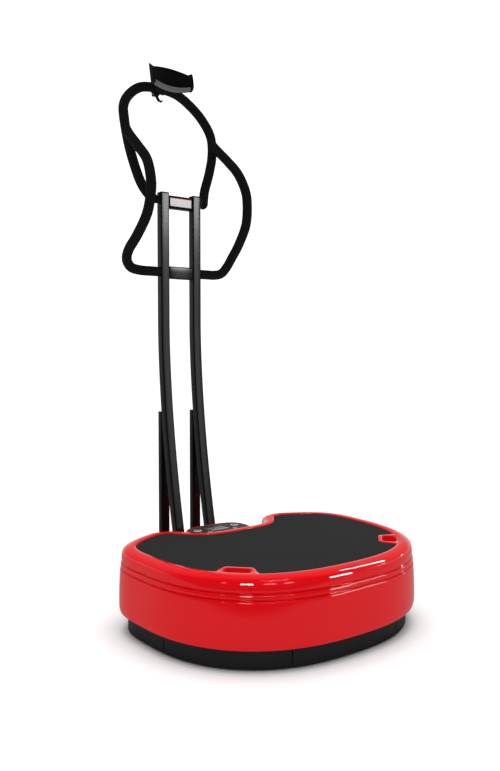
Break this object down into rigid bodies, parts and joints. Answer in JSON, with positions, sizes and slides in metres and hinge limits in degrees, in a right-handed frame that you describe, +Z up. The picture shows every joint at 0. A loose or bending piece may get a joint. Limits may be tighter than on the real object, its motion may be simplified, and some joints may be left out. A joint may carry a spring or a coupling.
{
  "type": "vibration plate",
  "caption": "Whole-body vibration plate: a red casing with a black mat over paired eccentric-weight motors, a small console and a slim column with padded grips and a phone holder.",
  "frame": {"origin": "on the floor, under the middle of the whole object's box", "axes": "+Z up, -Y towards the user's side (the front of the mat), +Y towards the column, X across with X = 0 as the plane of symmetry"},
  "size_m": [0.7492, 0.9044, 1.5493],
  "materials": {
    "red_gloss": "gloss moulded, deep red",
    "mat_rubber": "matt, fine grained",
    "skirt_plastic": "satin black",
    "powder_coat": "satin black powder coat",
    "grip_foam": "soft black foam",
    "holder_plastic": "satin black",
    "ledge_grey": "grey, finely ribbed",
    "panel_grey": "dark grey film",
    "display_lens": "clear over grey",
    "button_silver": "silver lacquer",
    "nameplate_satin": "satin white",
    "bare_steel": "plain",
    "frame_paint": "dark grey",
    "motor_paint": "grey enamel",
    "weight_iron": "as cast",
    "rubber": "black",
    "box_plastic": "black",
    "circuit_board": "green solder mask"
  },
  "bodies": {
    "base": {"console_pod": "red_gloss", "clamp_screw": "bare_steel", "base_frame": "frame_paint", "base_pan": "frame_paint", "column_foot": "frame_paint", "skirt_front": "skirt_plastic", "skirt_left": "skirt_plastic", "skirt_right": "skirt_plastic", "skirt_rear_left": "skirt_plastic", "skirt_rear_right": "skirt_plastic", "foot_front_left": "rubber", "foot_front_right": "rubber", "foot_rear_left": "rubber", "foot_rear_right": "rubber", "rubber_mount_front_left": "rubber", "rubber_mount_front_right": "rubber", "rubber_mount_rear_left": "rubber", "rubber_mount_rear_right": "rubber", "motor_controller": "box_plastic", "mains_inlet": "box_plastic", "console_panel": "panel_grey", "console_display": "display_lens", "console_board": "circuit_board", "front_leg_left": "powder_coat", "front_leg_right": "powder_coat", "rear_leg_left": "powder_coat", "rear_leg_right": "powder_coat", "upper_crossbar": "powder_coat", "lower_crossbar": "powder_coat", "leg_cap_left": "holder_plastic", "leg_cap_right": "holder_plastic", "holder_clamp": "holder_plastic", "nameplate": "nameplate_satin", "handlebar_arch": "grip_foam", "handlebar_grip_left": "grip_foam", "handlebar_grip_right": "grip_foam"},
    "deck": {"deck_casing": "red_gloss", "deck_mat": "mat_rubber", "deck_plate": "bare_steel", "deck_frame": "frame_paint", "motor_left": "motor_paint", "motor_right": "motor_paint"},
    "left_rotor": {"motor_left_shaft": "bare_steel", "motor_left_weight_a": "weight_iron", "motor_left_weight_b": "weight_iron"},
    "right_rotor": {"motor_right_shaft": "bare_steel", "motor_right_weight_a": "weight_iron", "motor_right_weight_b": "weight_iron"},
    "start_stop_key": {"start_stop_button": "button_silver"},
    "mode_key": {"mode_button": "button_silver"},
    "minus_key": {"minus_button": "button_silver"},
    "plus_key": {"plus_button": "button_silver"},
    "rocker": {"power_switch": "box_plastic"},
    "lever": {"clamp_lever": "holder_plastic"},
    "neck": {"holder_neck": "holder_plastic"},
    "cradle": {"holder_cradle": "holder_plastic", "holder_ledge": "ledge_grey"},
    "jaw": {"holder_jaw": "holder_plastic"},
    "left_wheel": {"transport_wheel_left": "rubber"},
    "right_wheel": {"transport_wheel_right": "rubber"}
  },
  "joints": [
    {"name": "deck_bounce", "type": "slide", "parent": "base", "child": "deck", "axis": [0, 0, 1], "range_m": [-0.002, 0.002], "stiffness_N_per_m": 200000, "springref_m": 0.00211},
    {"name": "left_rotor_spin", "type": "hinge", "parent": "deck", "child": "left_rotor", "pos_m": [-0.145, -0.138, 0.12], "axis": [1, 0, 0], "continuous": true},
    {"name": "right_rotor_spin", "type": "hinge", "parent": "deck", "child": "right_rotor", "pos_m": [0.145, -0.138, 0.12], "axis": [1, 0, 0], "continuous": true},
    {"name": "start_stop_press", "type": "slide", "parent": "base", "child": "start_stop_key", "axis": [0, 0, 1], "range_m": [-0.001, 0], "stiffness_N_per_m": 400, "springref_m": 0.0008},
    {"name": "mode_press", "type": "slide", "parent": "base", "child": "mode_key", "axis": [0, 0, 1], "range_m": [-0.001, 0], "stiffness_N_per_m": 400, "springref_m": 0.0008},
    {"name": "minus_press", "type": "slide", "parent": "base", "child": "minus_key", "axis": [0, 0, 1], "range_m": [-0.001, 0], "stiffness_N_per_m": 400, "springref_m": 0.0008},
    {"name": "plus_press", "type": "slide", "parent": "base", "child": "plus_key", "axis": [0, 0, 1], "range_m": [-0.001, 0], "stiffness_N_per_m": 400, "springref_m": 0.0008},
    {"name": "rocker_tip", "type": "hinge", "parent": "base", "child": "rocker", "pos_m": [0.024, 0.17, 0.072], "axis": [1, 0, 0], "range_deg": [-8, 8]},
    {"name": "lever_swing", "type": "hinge", "parent": "base", "child": "lever", "pos_m": [-0.006, 0.433, 1.4762], "axis": [0, 1, 0], "range_deg": [0, 35]},
    {"name": "neck_tilt", "type": "hinge", "parent": "base", "child": "neck", "pos_m": [0.008, 0.403, 1.51], "axis": [1, 0, 0], "range_deg": [-20, 30]},
    {"name": "cradle_turn", "type": "hinge", "parent": "neck", "child": "cradle", "pos_m": [0.008, 0.403, 1.51], "axis": [0, 0.9801, -0.1987], "range_deg": [-90, 90]},
    {"name": "jaw_slide", "type": "slide", "parent": "cradle", "child": "jaw", "axis": [1, 0, 0], "range_m": [0, 0.018], "stiffness_N_per_m": 60, "springref_m": -0.012},
    {"name": "left_wheel_roll", "type": "hinge", "parent": "base", "child": "left_wheel", "pos_m": [-0.112, 0.374, 0.0295], "axis": [1, 0, 0], "continuous": true},
    {"name": "right_wheel_roll", "type": "hinge", "parent": "base", "child": "right_wheel", "pos_m": [0.112, 0.374, 0.0295], "axis": [1, 0, 0], "continuous": true}
  ],
  "couplings": [
    {"joint": "right_rotor_spin", "follows": "left_rotor_spin", "ratio": -1}
  ]
}
